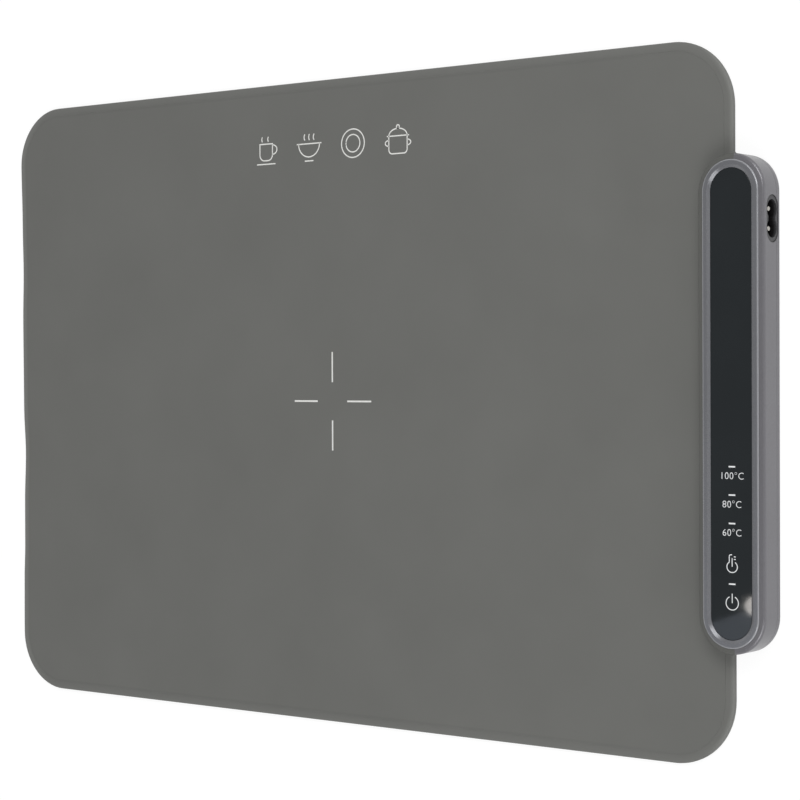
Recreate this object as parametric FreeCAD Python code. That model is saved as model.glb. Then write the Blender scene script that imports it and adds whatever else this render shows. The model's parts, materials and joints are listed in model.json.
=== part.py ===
# Rollable warming mat: a heated silicone mat with a slim touch controller along one short side.
# Millimetres. X runs from the mat's free edge to the controller, Y across the mat, Z up from the table.
# The origin is on the table, under the middle of the object.

import FreeCAD, Part
import math
import os

Vector = FreeCAD.Vector

os.makedirs("parts", exist_ok=True)

# Silicone mat
mat_length = 450.0
mat_width = 320.0
mat_thick = 3.2
mat_corner = 30.0
border_width = 4.2          # sloping band along the mat's outline
border_step = 0.12          # from the flat panel down to that band
border_fall = 0.5           # how far the band slopes down to the outline
edge_round = 0.8            # rounding of the mat's outer edges
web_round = 1.8             # inner corner where the mat's edge runs into the controller
anchor_length = 44.0        # part of the mat that stays flat beside the controller
strip_count = 13            # strips of the part that rolls up
hinge_gap = 0.2             # slit between two strips

# Heating film inside the mat
film_margin = 12.0          # silicone left round the film
film_thick = 0.2
busbar_width = 6.0
busbar_thick = 0.1
tongue_skin = 0.4           # silicone between the case floor and the film
slot_clear = 0.05
cross_run_setback = 3.0     # from the controller to the busbars' cross run
film_to_cross_run = 3.0

# Controller case
box_length = 216.0
box_width = 32.5
box_offset = 5.0            # from the mat's edge out to the controller's middle
case_wall = 1.8
case_floor = 1.2
top_round = 1.3             # where the shoulder turns into the side wall
shoulder_fall = 0.6         # how far the shoulder slopes down from the frame to the side wall
base_round = 0.8
seam_bevel = 0.15
deck_thick = 1.4            # plate under the lens
notch_clear = 0.15          # between the mat and the case
fit_clear = 0.1             # between rigid pieces that slot together
seal_size = 0.7

# Silicone cuff over the case's mat side
cuff_thick = 0.8
cuff_lap = 6.6              # cuff past the mat's edge, round the case's ends
cuff_foot = 1.6             # hollow rounding from the cuff onto the mat
cuff_foot_steps = 4         # flats that make up this rounding

# Lens and its frame
bezel_inset = 2.6           # from the case's outline in to the frame
bezel_ring_width = 3.7
bezel_land = 2.3            # top of the frame, outside its bevel down to the lens
bezel_edge = 0.6            # rounding of its outer edge
bezel_proud = 0.5           # frame above the shoulder round it
lens_thick = 1.5
lens_sink = 0.9             # lens below the frame's top
lens_edge = 0.2

# Tongue of the mat inside the case, and its clamp
tongue_margin = 7.75        # from the case's rounded ends to the tongue
tongue_reach = 8.0
clamp_margin = 4.0          # tongue beyond the bar's ends
clamp_edge = 0.75           # tongue beyond the bar's sides
clamp_thick = 1.5
clamp_screw_count = 5
clamp_boss_radius = 2.2

# Screws
screw_radius = 1.0
screw_head_radius = 1.9
screw_head_height = 1.2
screw_slot = 0.5
thread_clear = 0.05
screw_bite = 6.0            # length of a case screw in its boss
boss_radius = 2.4
boss_clear = 0.3            # between a boss and a board beside it
plug_thick = 0.7
plug_sink = 0.05            # plug below the case's underside
end_screw_inset = 8.0       # from the case's ends
side_screw_inset = 4.85     # from the case's long sides
left_screw_gap = 1.5        # between the tongue and the left screws
right_screw_inset = 36.0    # from the case's front end
board_screw_gap = 3.0       # between the power board and the next case screw

# Lamps and touch keys under the lens
key_inset = 22.0            # from the case's front end to the power key
power_lamp_reach = 8.6      # distances from the power key
heat_key_reach = 16.8
scale_lamp_reach = 33.6
lamp_pitch = 12.4
scale_lamp_count = 3
lamp_length = 2.0
lamp_width = 1.25
lamp_height = 0.8
lamp_well_length = 3.6
lamp_well_width = 2.0
key_pad_radius = 3.2
mask_width = 8.0
mask_margin = 5.0           # mask beyond its first and last opening
mask_gap = 0.1              # between the mask and the lens

# Display board
display_width = 20.0
display_thick = 1.0
display_drop = 2.0          # from the deck down to the board
display_margin = 2.0        # board beyond the mask's ends
display_boss_radius = 1.9
display_boss_gap = 0.3      # between the mask and the bosses
display_boss_inset = 18.0
chip_length = 10.0
chip_width = 5.4
chip_height = 1.6
chip_leg_count = 8
chip_leg_pitch = 1.1
chip_leg_width = 0.4
chip_leg_reach = 1.1
chip_leg_thick = 0.3
chip_reach = 40.0           # from the board's front end

# Pin header that stands between the boards
header_length = 8.0
header_width = 2.5
header_inset = 2.5

# Power board
board_to_tongue = 0.75
board_to_wall = 1.5
board_to_inlet = 6.0
board_lap = 8.0             # power board under the display board
board_thick = 1.2
board_stand = 2.2           # from the case floor up to the board
board_post_radius = 2.2
board_post_inset = 3.0
board_post_reach = 29.8     # from the board's back edge to the post beside the clamp

# Parts on the power board: each place is across from the controller's middle, then in from the back edge
fuse_radius = 2.0
fuse_length = 10.0
fuse_cap_length = 2.4
fuse_cap_lip = 0.2
fuse_place = (-3.4, 20.0)
varistor_radius = 3.75
varistor_thick = 3.8
varistor_round = 0.9
varistor_place = (3.6, 4.4)
film_cap_size = (11.0, 13.0, 5.5)
film_cap_place = (4.2, 15.5)
smoothing_radius = 3.15
smoothing_length = 11.0
smoothing_groove = 0.3
smoothing_groove_inset = 2.0
smoothing_places = ((3.0, 28.0), (9.6, 28.0))
inductor_size = 7.0
inductor_height = 4.0
inductor_corner = 1.5
inductor_place = (1.6, 38.0)
cutout_radius = 2.0
cutout_length = 9.0
cutout_nose_length = 2.0
cutout_nose_radius = 1.2
cutout_place = (9.4, 40.5)
triac_size = (10.0, 9.0, 4.4)
triac_tab_length = 6.5
triac_tab_thick = 1.3
triac_hole_radius = 1.8
triac_place = (2.0, 53.0)

# Leads from the busbars and the temperature sensor to the power board
lead_reach = 4.0            # busbar tails past the tongue
tab_width = 5.0
tab_thick = 0.8
sensor_length = 6.0
sensor_width = 4.0
sensor_thick = 0.35
sensor_tail_width = 2.5
sensor_tail_thick = 0.25
sensor_setback = 22.0       # from the case's left wall to the sensor's far end

# Mains inlet with two round pins
inlet_inset = 28.5          # from the case's back end
inlet_floor_gap = 0.4
inlet_cover = 0.5           # case left above the inlet
inlet_rim = 0.85            # above and below the socket
inlet_end_rim = 1.95
inlet_back_wall = 2.5
inlet_sink = 0.3            # inlet face inside the case wall
inlet_collar_reach = 1.5
inlet_collar_thick = 1.2
socket_radius = 4.35
socket_centre = 3.9
socket_waist = 6.4
socket_depth = 11.0
pin_pitch = 8.6
pin_radius = 1.2
pin_tip_round = 0.6
pin_sink = 1.3              # pin tips inside the inlet's face
pin_tail_radius = 0.6
wire_radius = 0.8
wire_bend = 1.0
wire_gap = 0.4
wire_edge_gap = 0.3         # from the power board's edge to the outer wire
wire_start = 2.0            # straight run off the pins' tails
wire_lands = (5.0, 10.5)    # in from the power board's back edge

cut_over = 1.0              # how far a cutter runs past the face it opens

# Places that follow from these sizes
overall_length = mat_length + box_offset + box_width / 2
mat_left = -overall_length / 2
mat_right = mat_left + mat_length
border_top = mat_thick - border_step
outline_top = border_top - border_fall
strip_length = (mat_length - anchor_length) / strip_count
hinge_first = mat_right - anchor_length
film_half = mat_width / 2 - film_margin
slot_floor = case_floor + tongue_skin
film_bottom = slot_floor + slot_clear
film_top = film_bottom + film_thick
busbar_top = film_top + busbar_thick
slot_top = busbar_top + slot_clear
box_x = mat_right + box_offset
box_left = box_x - box_width / 2
box_right = box_x + box_width / 2
inner_left = box_left + case_wall
part_line = mat_thick

inlet_length = 2 * (socket_centre + socket_radius + inlet_end_rim)
inlet_height = 2 * (socket_radius + inlet_rim)
inlet_depth = socket_depth + inlet_back_wall
inlet_place = box_length / 2 - inlet_inset
inlet_middle = case_floor + inlet_floor_gap + inlet_height / 2
inlet_face = box_right - inlet_sink
inlet_back = inlet_face - inlet_depth
socket_end = inlet_face - socket_depth
collar_right = box_right - case_wall
pin_places = (inlet_place - pin_pitch / 2, inlet_place + pin_pitch / 2)

deck_top = inlet_middle + inlet_height / 2 + fit_clear + inlet_cover
deck_bottom = deck_top - deck_thick
lens_top = deck_top + lens_thick
box_height = lens_top + lens_sink
shoulder_high = box_height - bezel_proud
shoulder_low = shoulder_high - shoulder_fall
bezel_width = box_width - 2 * bezel_inset
lens_width = bezel_width - 2 * bezel_ring_width

tongue_width = box_length - box_width - 2 * tongue_margin
tongue_end = inner_left + tongue_reach
clamp_length = tongue_width - 2 * clamp_margin
clamp_width = tongue_reach - 2 * clamp_edge
clamp_pitch = clamp_length / clamp_screw_count
clamp_top = mat_thick + clamp_thick
clamp_x = tongue_end - tongue_reach / 2
cross_run_right = box_left - cross_run_setback
cross_run_left = cross_run_right - busbar_width
lead_places = (clamp_pitch / 2, clamp_pitch * 3 / 2)
sensor_place = -clamp_pitch / 2

head_top = plug_sink + plug_thick + thread_clear
case_seat = head_top + screw_head_height
boss_seat = case_seat + case_floor
pocket_radius = screw_head_radius + 2 * fit_clear
foot_radius = pocket_radius + case_floor

power_key_place = key_inset - box_length / 2
power_lamp_place = power_key_place + power_lamp_reach
heat_key_place = power_key_place + heat_key_reach
scale_lamp_place = power_key_place + scale_lamp_reach
lamp_last = scale_lamp_place + lamp_pitch * (scale_lamp_count - 1)
mask_top = deck_top - mask_gap
mask_back = lamp_last + mask_margin
mask_front = power_key_place - key_pad_radius - mask_margin
display_top = deck_bottom - display_drop
display_bottom = display_top - display_thick
display_back = mask_back + display_margin
display_front = mask_front - display_margin
display_boss_offset = mask_width / 2 + display_boss_gap + display_boss_radius

board_bottom = case_floor + board_stand
board_top = board_bottom + board_thick
board_x0 = tongue_end + board_to_tongue
board_x1 = collar_right - board_to_wall
board_back = inlet_place - inlet_length / 2 - inlet_collar_reach - board_to_inlet
board_front = display_back - board_lap

left_screw_reach = tongue_width / 2 + left_screw_gap + foot_radius
left_screw_x = box_left + side_screw_inset
right_screw_x = box_right - side_screw_inset
lamp_places = [scale_lamp_place + lamp_pitch * step for step in range(scale_lamp_count)] + [power_lamp_place]
key_places = [heat_key_place, power_key_place]
clamp_places = [clamp_pitch * (step - (clamp_screw_count - 1) / 2) for step in range(clamp_screw_count)]
case_screw_places = [
    (box_x, box_length / 2 - end_screw_inset),
    (box_x, end_screw_inset - box_length / 2),
    (left_screw_x, left_screw_reach),
    (left_screw_x, -left_screw_reach),
    (right_screw_x, right_screw_inset - box_length / 2),
    (right_screw_x, board_front - board_screw_gap - foot_radius),
]
display_screw_places = [
    (box_x + side * display_boss_offset, place)
    for side in (-1, 1)
    for place in (display_back - display_boss_inset, display_front + display_boss_inset)
]
board_post_places = [
    (board_x1 - board_post_inset, board_front + board_post_inset),
    (board_x1 - board_post_inset, board_back - board_post_inset),
    (board_x0 + board_post_inset, board_back - board_post_reach),
]


def block(x0, x1, y0, y1, z0, z1):
    return Part.makeBox(x1 - x0, y1 - y0, z1 - z0, Vector(x0, y0, z0))


def post(x, y, radius, z0, z1):
    return Part.makeCylinder(radius, z1 - z0, Vector(x, y, z0))


def rod(x0, x1, y, z, radius):
    return Part.makeCylinder(radius, x1 - x0, Vector(x0, y, z), Vector(1, 0, 0))


def cross_rod(x, y0, y1, z, radius):
    return Part.makeCylinder(radius, y1 - y0, Vector(x, y0, z), Vector(0, 1, 0))


def obround_wire(half_width, half_length, z):
    straight = half_length - half_width
    right_front = Vector(half_width, -straight, z)
    right_back = Vector(half_width, straight, z)
    left_back = Vector(-half_width, straight, z)
    left_front = Vector(-half_width, -straight, z)
    edges = [
        Part.LineSegment(right_front, right_back),
        Part.Arc(right_back, Vector(0, half_length, z), left_back),
        Part.LineSegment(left_back, left_front),
        Part.Arc(left_front, Vector(0, -half_length, z), right_front),
    ]
    return Part.Wire([edge.toShape() for edge in edges])


# A wire of the case's own outline, drawn in to a given width.
def case_wire(width, z):
    half_length = (box_length - box_width + width) / 2
    wire = obround_wire(width / 2, half_length, z)
    wire.translate(Vector(box_x, 0, 0))
    return wire


def case_slab(width, z0, z1):
    return Part.Face(case_wire(width, z0)).extrude(Vector(0, 0, z1 - z0))


# An upright obround laid along X, as the inlet and its opening in the wall are.
def inlet_slab(length, height, x0, x1):
    slab = Part.Face(obround_wire(height / 2, length / 2, 0)).extrude(Vector(0, 0, x1 - x0))
    slab.rotate(Vector(0, 0, 0), Vector(0, 1, 0), 90)
    slab.translate(Vector(x0, inlet_place, inlet_middle))
    return slab


def rounded_plate(x0, x1, half_width, corner, z0, z1):
    plate = block(x0, x1, -half_width, half_width, z0, z1)
    upright = [edge for edge in plate.Edges if edge.BoundBox.ZLength > (z1 - z0) / 2]
    return plate.makeFillet(corner, upright)


def edges_at(shape, z):
    near = 0.001
    return [edge for edge in shape.Edges if abs(edge.BoundBox.ZMin - z) < near and edge.BoundBox.ZLength < near]


def save(name, shape):
    shape.exportStep("parts/" + name + ".step")


def save_group(name, solids):
    save(name, Part.makeCompound(solids))


# A slotted pan-head screw: the head lies on one side of its seat and the shank on the other.
def screw(x, y, seat, tip):
    away = -1 if tip > seat else 1
    head_end = seat + away * screw_head_height
    head = post(x, y, screw_head_radius, min(seat, head_end), max(seat, head_end))
    shank = post(x, y, screw_radius, min(seat, tip), max(seat, tip))
    slot_inner = head_end - away * screw_slot
    slot = block(
        x - screw_head_radius, x + screw_head_radius, y - screw_slot / 2, y + screw_slot / 2,
        min(slot_inner, head_end), max(slot_inner, head_end),
    )
    return head.fuse(shank).cut(slot)


# A round wire along straight runs joined by tangent arcs.
def bent_wire(points, radius, bend):
    edges = []
    start = points[0]
    for before, corner, after in zip(points, points[1:], points[2:]):
        into = (corner - before).normalize()
        out = (after - corner).normalize()
        setback = bend * math.tan(into.getAngle(out) / 2)
        arc_start = corner - into * setback
        arc_end = corner + out * setback
        inward = (out - into).normalize()
        to_centre = bend / math.cos(into.getAngle(out) / 2)
        arc_middle = corner + inward * (to_centre - bend)
        edges.append(Part.LineSegment(start, arc_start).toShape())
        edges.append(Part.Arc(arc_start, arc_middle, arc_end).toShape())
        start = arc_end
    edges.append(Part.LineSegment(start, points[-1]).toShape())
    section = Part.Wire([Part.makeCircle(radius, points[0], points[1] - points[0])])
    return Part.Wire(edges).makePipeShell([section], True, True)


# A plate of the mat's own outline, drawn in by a given distance.
def mat_plate(inset, z0, z1):
    return rounded_plate(
        mat_left + inset, mat_right - inset, mat_width / 2 - inset, mat_corner - inset, z0, z1,
    )


def mat_wire(inset, z):
    plate = mat_plate(inset, 0, z)
    top = max(plate.Faces, key=lambda face: face.CenterOfMass.z)
    return top.OuterWire


# Whole sheet with its sloping border, before it is cut into strips.
def mat_blank():
    border = Part.makeLoft([mat_wire(0, outline_top), mat_wire(border_width, border_top)], True, True)
    sheet = mat_plate(0, 0, outline_top).fuse(border).removeSplitter()
    sheet = sheet.makeFillet(edge_round, edges_at(sheet, 0) + edges_at(sheet, outline_top))
    return sheet.fuse(mat_plate(border_width, slot_floor, mat_thick)).removeSplitter()


def strip_span(index):
    right = hinge_first - strip_length * (index - 1) - hinge_gap / 2
    left = right - strip_length + hinge_gap
    if index == strip_count:
        left = mat_left
    return left, right


def slot_block(x0, x1, y0, y1):
    return block(x0 - slot_clear, x1 + slot_clear, y0 - slot_clear, y1 + slot_clear, slot_floor, slot_top)


def film_solids(left, right):
    film = block(left, right, -film_half, film_half, film_bottom, film_top)
    lower_bar = block(left, right, -film_half, busbar_width - film_half, film_top, busbar_top)
    upper_bar = block(left, right, film_half - busbar_width, film_half, film_top, busbar_top)
    return [film, lower_bar, upper_bar]


def make_strips(blank):
    for index in range(1, strip_count + 1):
        left, right = strip_span(index)
        strip = blank.common(block(left, right, -mat_width, mat_width, -mat_thick, 2 * mat_thick))
        film_left = left
        slot_left = left - hinge_gap
        if index == strip_count:
            film_left = mat_left + film_margin
            slot_left = film_left
        strip = strip.cut(slot_block(slot_left, right + hinge_gap, -film_half, film_half))
        save("mat_strip_%02d" % index, strip)
        save_group("heater_film_%02d" % index, film_solids(film_left, right))


# Small webs that round the corner between the mat's edge and the case's ends.
def edge_webs():
    end_centre = (box_length - box_width) / 2
    notch_radius = box_width / 2 + notch_clear
    reach = notch_radius + web_round
    across = web_round - box_offset
    along = math.sqrt(reach ** 2 - across ** 2)
    web_end = box_x + across * notch_radius / reach
    webs = []
    for side in (-1, 1):
        far = side * (end_centre + along)
        near = side * end_centre
        web = block(mat_right - border_width, web_end, min(near, far), max(near, far), 0, outline_top)
        webs.append(web.cut(post(mat_right + web_round, far, web_round, -mat_thick, 2 * mat_thick)))
    return webs


def make_anchor(blank):
    left = hinge_first + hinge_gap / 2
    strip = blank.common(block(left, mat_right, -mat_width, mat_width, -mat_thick, 2 * mat_thick))
    for web in edge_webs():
        strip = strip.fuse(web)
    strip = strip.cut(case_slab(box_width + 2 * notch_clear, -mat_thick, 2 * mat_thick))
    half = tongue_width / 2
    tongue = block(box_left - case_wall, tongue_end, -half, half, case_floor, mat_thick)
    strip = strip.fuse(tongue).removeSplitter()
    for place in clamp_places:
        strip = strip.cut(post(clamp_x, place, clamp_boss_radius + notch_clear, 0, 2 * mat_thick))
    strip = strip.cut(slot_block(left - hinge_gap, cross_run_right, -film_half, film_half))
    for place in lead_places:
        lead_half = busbar_width / 2
        strip = strip.cut(slot_block(cross_run_left, tongue_end + cut_over, place - lead_half, place + lead_half))
    strip = strip.cut(sensor_shape(slot_clear))
    save("mat_anchor_strip", strip)

    film_right = cross_run_left - film_to_cross_run
    film = block(left, film_right, -film_half, film_half, film_bottom, film_top)
    bars = []
    for place, side in zip(lead_places, (-1, 1)):
        outer = side * film_half
        inner = side * (film_half - busbar_width)
        run = block(left, cross_run_right, min(outer, inner), max(outer, inner), film_top, busbar_top)
        turn_inner = place - side * busbar_width / 2
        cross = block(
            cross_run_left, cross_run_right, min(outer, turn_inner), max(outer, turn_inner), film_top, busbar_top,
        )
        tail = block(
            cross_run_left, tongue_end + lead_reach,
            place - busbar_width / 2, place + busbar_width / 2, film_top, busbar_top,
        )
        bars.append(run.fuse(cross).fuse(tail).removeSplitter())
    save_group("heater_film_00", [film] + bars)


# Flat sensor head with its tail into the case, grown by a clearance for the pocket that holds it.
def sensor_shape(grow):
    head_left = box_left - sensor_setback
    bottom = slot_top + slot_clear
    head = block(
        head_left - grow, head_left + sensor_length + grow,
        sensor_place - sensor_width / 2 - grow, sensor_place + sensor_width / 2 + grow,
        bottom - grow, bottom + sensor_thick + grow,
    )
    tail = block(
        head_left, tongue_end + lead_reach,
        sensor_place - sensor_tail_width / 2 - grow, sensor_place + sensor_tail_width / 2 + grow,
        bottom - grow, bottom + sensor_tail_thick + grow,
    )
    return head.fuse(tail).removeSplitter()


def make_leads():
    tail_right = tongue_end + lead_reach
    tabs = []
    for place in lead_places:
        tabs.append(block(
            tail_right - tab_thick, tail_right, place - tab_width / 2, place + tab_width / 2,
            busbar_top, board_bottom,
        ))
    save_group("heater_tabs", tabs)
    bend = block(
        tail_right - sensor_tail_thick, tail_right,
        sensor_place - sensor_tail_width / 2, sensor_place + sensor_tail_width / 2,
        slot_top + slot_clear, board_bottom,
    )
    save("temperature_sensor", sensor_shape(0).fuse(bend).removeSplitter())


def inlet_opening():
    return inlet_slab(
        inlet_length + 2 * fit_clear, inlet_height + 2 * fit_clear, inlet_back - fit_clear, box_right + cut_over,
    )


def collar_opening():
    return inlet_slab(
        inlet_length + 2 * inlet_collar_reach + 2 * fit_clear, inlet_height + 2 * fit_clear,
        collar_right - inlet_collar_thick - fit_clear, collar_right,
    )


def tongue_opening():
    half = tongue_width / 2 + notch_clear
    return block(box_left - cut_over, inner_left + cut_over, -half, half, case_floor, part_line + cut_over)


def seal_ring(clear):
    middle = box_width - case_wall
    outer = case_slab(middle + seal_size + 2 * clear, part_line - seal_size, part_line)
    inner = case_slab(middle - seal_size - 2 * clear, part_line - seal_size, part_line)
    return outer.cut(inner)


def make_lower_shell():
    tray = case_slab(box_width, 0, part_line)
    tray = tray.makeFillet(base_round, edges_at(tray, 0))
    tray = tray.makeChamfer(seam_bevel, edges_at(tray, part_line))
    tray = tray.cut(case_slab(box_width - 2 * case_wall, case_floor, part_line + cut_over))
    tray = tray.cut(tongue_opening()).cut(seal_ring(fit_clear))
    for x, y in case_screw_places:
        tray = tray.fuse(post(x, y, foot_radius, 0, boss_seat))
    for place in clamp_places:
        tray = tray.fuse(post(clamp_x, place, clamp_boss_radius, case_floor, mat_thick))
    for x, y in board_post_places:
        tray = tray.fuse(post(x, y, board_post_radius, case_floor, board_bottom))
    tray = tray.cut(inlet_opening()).cut(collar_opening())
    hole = screw_radius + thread_clear
    for x, y in case_screw_places:
        tray = tray.cut(post(x, y, pocket_radius, 0, case_seat)).cut(post(x, y, hole, 0, boss_seat))
    for place in clamp_places:
        tray = tray.cut(post(clamp_x, place, hole, case_floor / 2, mat_thick))
    for x, y in board_post_places:
        tray = tray.cut(post(x, y, hole, case_floor, board_bottom))
    save("lower_shell", tray.removeSplitter())


# The case above its parting line, drawn in by a skin.
def case_form(skin):
    width = box_width - 2 * skin
    low = shoulder_low - skin
    shoulder = Part.makeLoft([case_wire(width, low), case_wire(bezel_width, shoulder_high - skin)], True, True)
    form = case_slab(width, part_line, low).fuse(shoulder).removeSplitter()
    return form.makeFillet(top_round, edges_at(form, low))


def bezel_recess():
    return case_slab(bezel_width + 2 * fit_clear, deck_top, box_height + cut_over)


# Silicone skin from the frame down over the case's mat side, with a foot that runs out onto the mat.
def cuff_shape(blank):
    turns = [math.pi / 2 * step / cuff_foot_steps for step in range(cuff_foot_steps + 1)]
    rings = []
    for turn in turns:
        reach = cuff_foot * (1 - math.sin(turn))
        rise = cuff_foot * (1 - math.cos(turn))
        rings.append(case_wire(box_width + 2 * reach, part_line + rise))
    foot = Part.makeLoft(rings, True, True).fuse(case_slab(box_width + 2 * cuff_foot, outline_top, part_line))
    foot = foot.cut(case_slab(box_width, outline_top, box_height)).cut(blank)
    foot = foot.common(block(box_left - 2 * cuff_foot, mat_right, -box_length, box_length, 0, box_height))
    skin = case_form(0).cut(case_form(cuff_thick)).cut(bezel_recess())
    skin = skin.common(block(box_left, mat_right + cuff_lap, -box_length, box_length, 0, box_height))
    return skin.fuse(foot).removeSplitter()


def make_upper_shell(cuff):
    shell = case_form(0)
    shell = shell.makeChamfer(seam_bevel, edges_at(shell, part_line))
    shell = shell.cut(case_slab(box_width - 2 * case_wall, part_line - cut_over, deck_bottom))
    shell = shell.cut(bezel_recess()).cut(cuff)
    window_half = mask_width / 2 + fit_clear
    window = block(
        box_x - window_half, box_x + window_half, mask_front - fit_clear, mask_back + fit_clear,
        deck_bottom - cut_over, deck_top + cut_over,
    )
    shell = shell.cut(window)
    for x, y in case_screw_places:
        shell = shell.fuse(post(x, y, boss_radius, boss_seat, deck_bottom))
    for x, y in display_screw_places:
        shell = shell.fuse(post(x, y, display_boss_radius, display_top, deck_bottom))
    shell = shell.cut(inlet_opening()).cut(collar_opening())
    hole = screw_radius + thread_clear
    for x, y in case_screw_places:
        shell = shell.cut(post(x, y, hole, boss_seat, case_seat + screw_bite + 2 * thread_clear))
    for x, y in display_screw_places:
        shell = shell.cut(post(x, y, hole, display_top, deck_bottom))
    save("upper_shell", shell.removeSplitter())


def make_case_fittings():
    seal = seal_ring(0).cut(tongue_opening()).cut(inlet_opening())
    save_group("case_seal", seal.Solids)
    screws = [screw(x, y, case_seat, case_seat + screw_bite) for x, y in case_screw_places]
    save_group("case_screws", screws)
    plug_radius = pocket_radius - fit_clear
    plugs = [post(x, y, plug_radius, plug_sink, plug_sink + plug_thick) for x, y in case_screw_places]
    save_group("screw_plugs", plugs)

    half = clamp_width / 2
    bar = block(clamp_x - half, clamp_x + half, -clamp_length / 2, clamp_length / 2, mat_thick, clamp_top)
    for place in clamp_places:
        bar = bar.cut(post(clamp_x, place, screw_radius + thread_clear, mat_thick, clamp_top))
    save("clamp_bar", bar)
    tip = case_floor / 2 + thread_clear
    save_group("clamp_screws", [screw(clamp_x, place, clamp_top, tip) for place in clamp_places])


def make_lens_and_bezel():
    bezel = case_slab(bezel_width, deck_top, box_height)
    bezel = bezel.makeFillet(bezel_edge, edges_at(bezel, box_height))
    throat = lens_width + 2 * fit_clear
    mouth = bezel_width - 2 * bezel_land
    bezel = bezel.cut(case_slab(throat, deck_top - cut_over, box_height + cut_over))
    above = 2.0
    flare_width = throat + (mouth - throat) * above
    flare = Part.makeLoft(
        [case_wire(throat, lens_top), case_wire(flare_width, lens_top + lens_sink * above)], True, True,
    )
    save("bezel_ring", bezel.cut(flare))
    lens = case_slab(lens_width, deck_top, lens_top)
    save("touch_lens", lens.makeFillet(lens_edge, edges_at(lens, lens_top)))


# A board with notches where the case's screw bosses pass it.
def clear_of_bosses(board):
    for x, y in case_screw_places:
        board = board.cut(post(x, y, boss_radius + boss_clear, case_floor, deck_bottom))
    return board


def make_display():
    mask_half = mask_width / 2
    mask = block(box_x - mask_half, box_x + mask_half, mask_front, mask_back, display_top, mask_top)
    lamps = []
    for place in lamp_places:
        mask = mask.cut(block(
            box_x - lamp_well_length / 2, box_x + lamp_well_length / 2,
            place - lamp_well_width / 2, place + lamp_well_width / 2, display_top, mask_top,
        ))
        lamps.append(block(
            box_x - lamp_length / 2, box_x + lamp_length / 2,
            place - lamp_width / 2, place + lamp_width / 2, display_top, display_top + lamp_height,
        ))
    pads = []
    for place in key_places:
        mask = mask.cut(post(box_x, place, key_pad_radius + fit_clear, display_top, mask_top))
        pads.append(post(box_x, place, key_pad_radius, display_top, deck_top))
    save("light_mask", mask)
    save_group("indicator_leds", lamps)
    save_group("touch_pads", pads)

    half = display_width / 2
    board = block(box_x - half, box_x + half, display_front, display_back, display_bottom, display_top)
    for x, y in display_screw_places:
        board = board.cut(post(x, y, screw_radius + thread_clear, display_bottom, display_top))
    save("display_board", clear_of_bosses(board))
    tip = deck_bottom - thread_clear
    save_group("display_screws", [screw(x, y, display_bottom, tip) for x, y in display_screw_places])

    half_body = chip_width / 2
    chip_place = display_front + chip_reach
    chip = block(
        box_x - half_body, box_x + half_body, chip_place - chip_length / 2, chip_place + chip_length / 2,
        display_bottom - chip_height, display_bottom,
    )
    leg_half = half_body + chip_leg_reach
    for step in range(chip_leg_count):
        leg_place = chip_place + chip_leg_pitch * (step - (chip_leg_count - 1) / 2)
        chip = chip.fuse(block(
            box_x - leg_half, box_x + leg_half, leg_place - chip_leg_width / 2, leg_place + chip_leg_width / 2,
            display_bottom - chip_leg_thick, display_bottom,
        ))
    save("control_chip", chip.removeSplitter())


def make_header():
    place = display_back - header_inset - header_width / 2
    header = block(
        box_x - header_length / 2, box_x + header_length / 2,
        place - header_width / 2, place + header_width / 2, board_top, display_bottom,
    )
    save("link_header", header)


def make_power_board():
    board = block(board_x0, board_x1, board_front, board_back, board_bottom, board_top)
    for x, y in board_post_places:
        board = board.cut(post(x, y, screw_radius + thread_clear, board_bottom, board_top))
    save("power_board", clear_of_bosses(board))
    tip = case_floor + thread_clear
    save_group("power_screws", [screw(x, y, board_top, tip) for x, y in board_post_places])


# Where a part stands on the power board, in the object's frame.
def board_place(place):
    across, inward = place
    return box_x + across, board_back - inward


def make_fuse():
    x, y = board_place(fuse_place)
    y0 = y - fuse_length / 2
    y1 = y + fuse_length / 2
    z = board_top + fuse_radius
    fuse = cross_rod(x, y0, y1, z, fuse_radius - fuse_cap_lip)
    fuse = fuse.fuse(cross_rod(x, y0, y0 + fuse_cap_length, z, fuse_radius))
    fuse = fuse.fuse(cross_rod(x, y1 - fuse_cap_length, y1, z, fuse_radius))
    save("mains_fuse", fuse.removeSplitter())


def make_varistor():
    x, y = board_place(varistor_place)
    varistor = post(x, y, varistor_radius, board_top, board_top + varistor_thick)
    round_edges = edges_at(varistor, board_top) + edges_at(varistor, board_top + varistor_thick)
    save("varistor", varistor.makeFillet(varistor_round, round_edges))


def make_capacitors():
    wide, long, high = film_cap_size
    x, y = board_place(film_cap_place)
    film_capacitor = block(x - wide / 2, x + wide / 2, y - long / 2, y + long / 2, board_top, board_top + high)
    save("film_capacitor", film_capacitor)

    cans = []
    for place in smoothing_places:
        x, y = board_place(place)
        z = board_top + smoothing_radius
        y0 = y - smoothing_length / 2
        can = cross_rod(x, y0, y0 + smoothing_length, z, smoothing_radius)
        groove_start = y0 + smoothing_groove_inset
        groove_end = groove_start + 2 * smoothing_groove
        groove = cross_rod(x, groove_start, groove_end, z, 2 * smoothing_radius)
        groove = groove.cut(cross_rod(x, groove_start, groove_end, z, smoothing_radius - smoothing_groove))
        cans.append(can.cut(groove))
    save_group("smoothing_capacitors", cans)


def make_inductor():
    half = inductor_size / 2
    x, y = board_place(inductor_place)
    inductor = block(x - half, x + half, y - half, y + half, board_top, board_top + inductor_height)
    upright = [edge for edge in inductor.Edges if edge.BoundBox.ZLength > inductor_height / 2]
    save("supply_inductor", inductor.makeChamfer(inductor_corner, upright))


def make_cutout():
    x, y = board_place(cutout_place)
    y0 = y - cutout_length / 2
    y1 = y + cutout_length / 2
    z = board_top + cutout_radius
    cutout = cross_rod(x, y0, y1, z, cutout_radius)
    save("thermal_cutout", cutout.fuse(cross_rod(x, y1, y1 + cutout_nose_length, z, cutout_nose_radius)))


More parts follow.
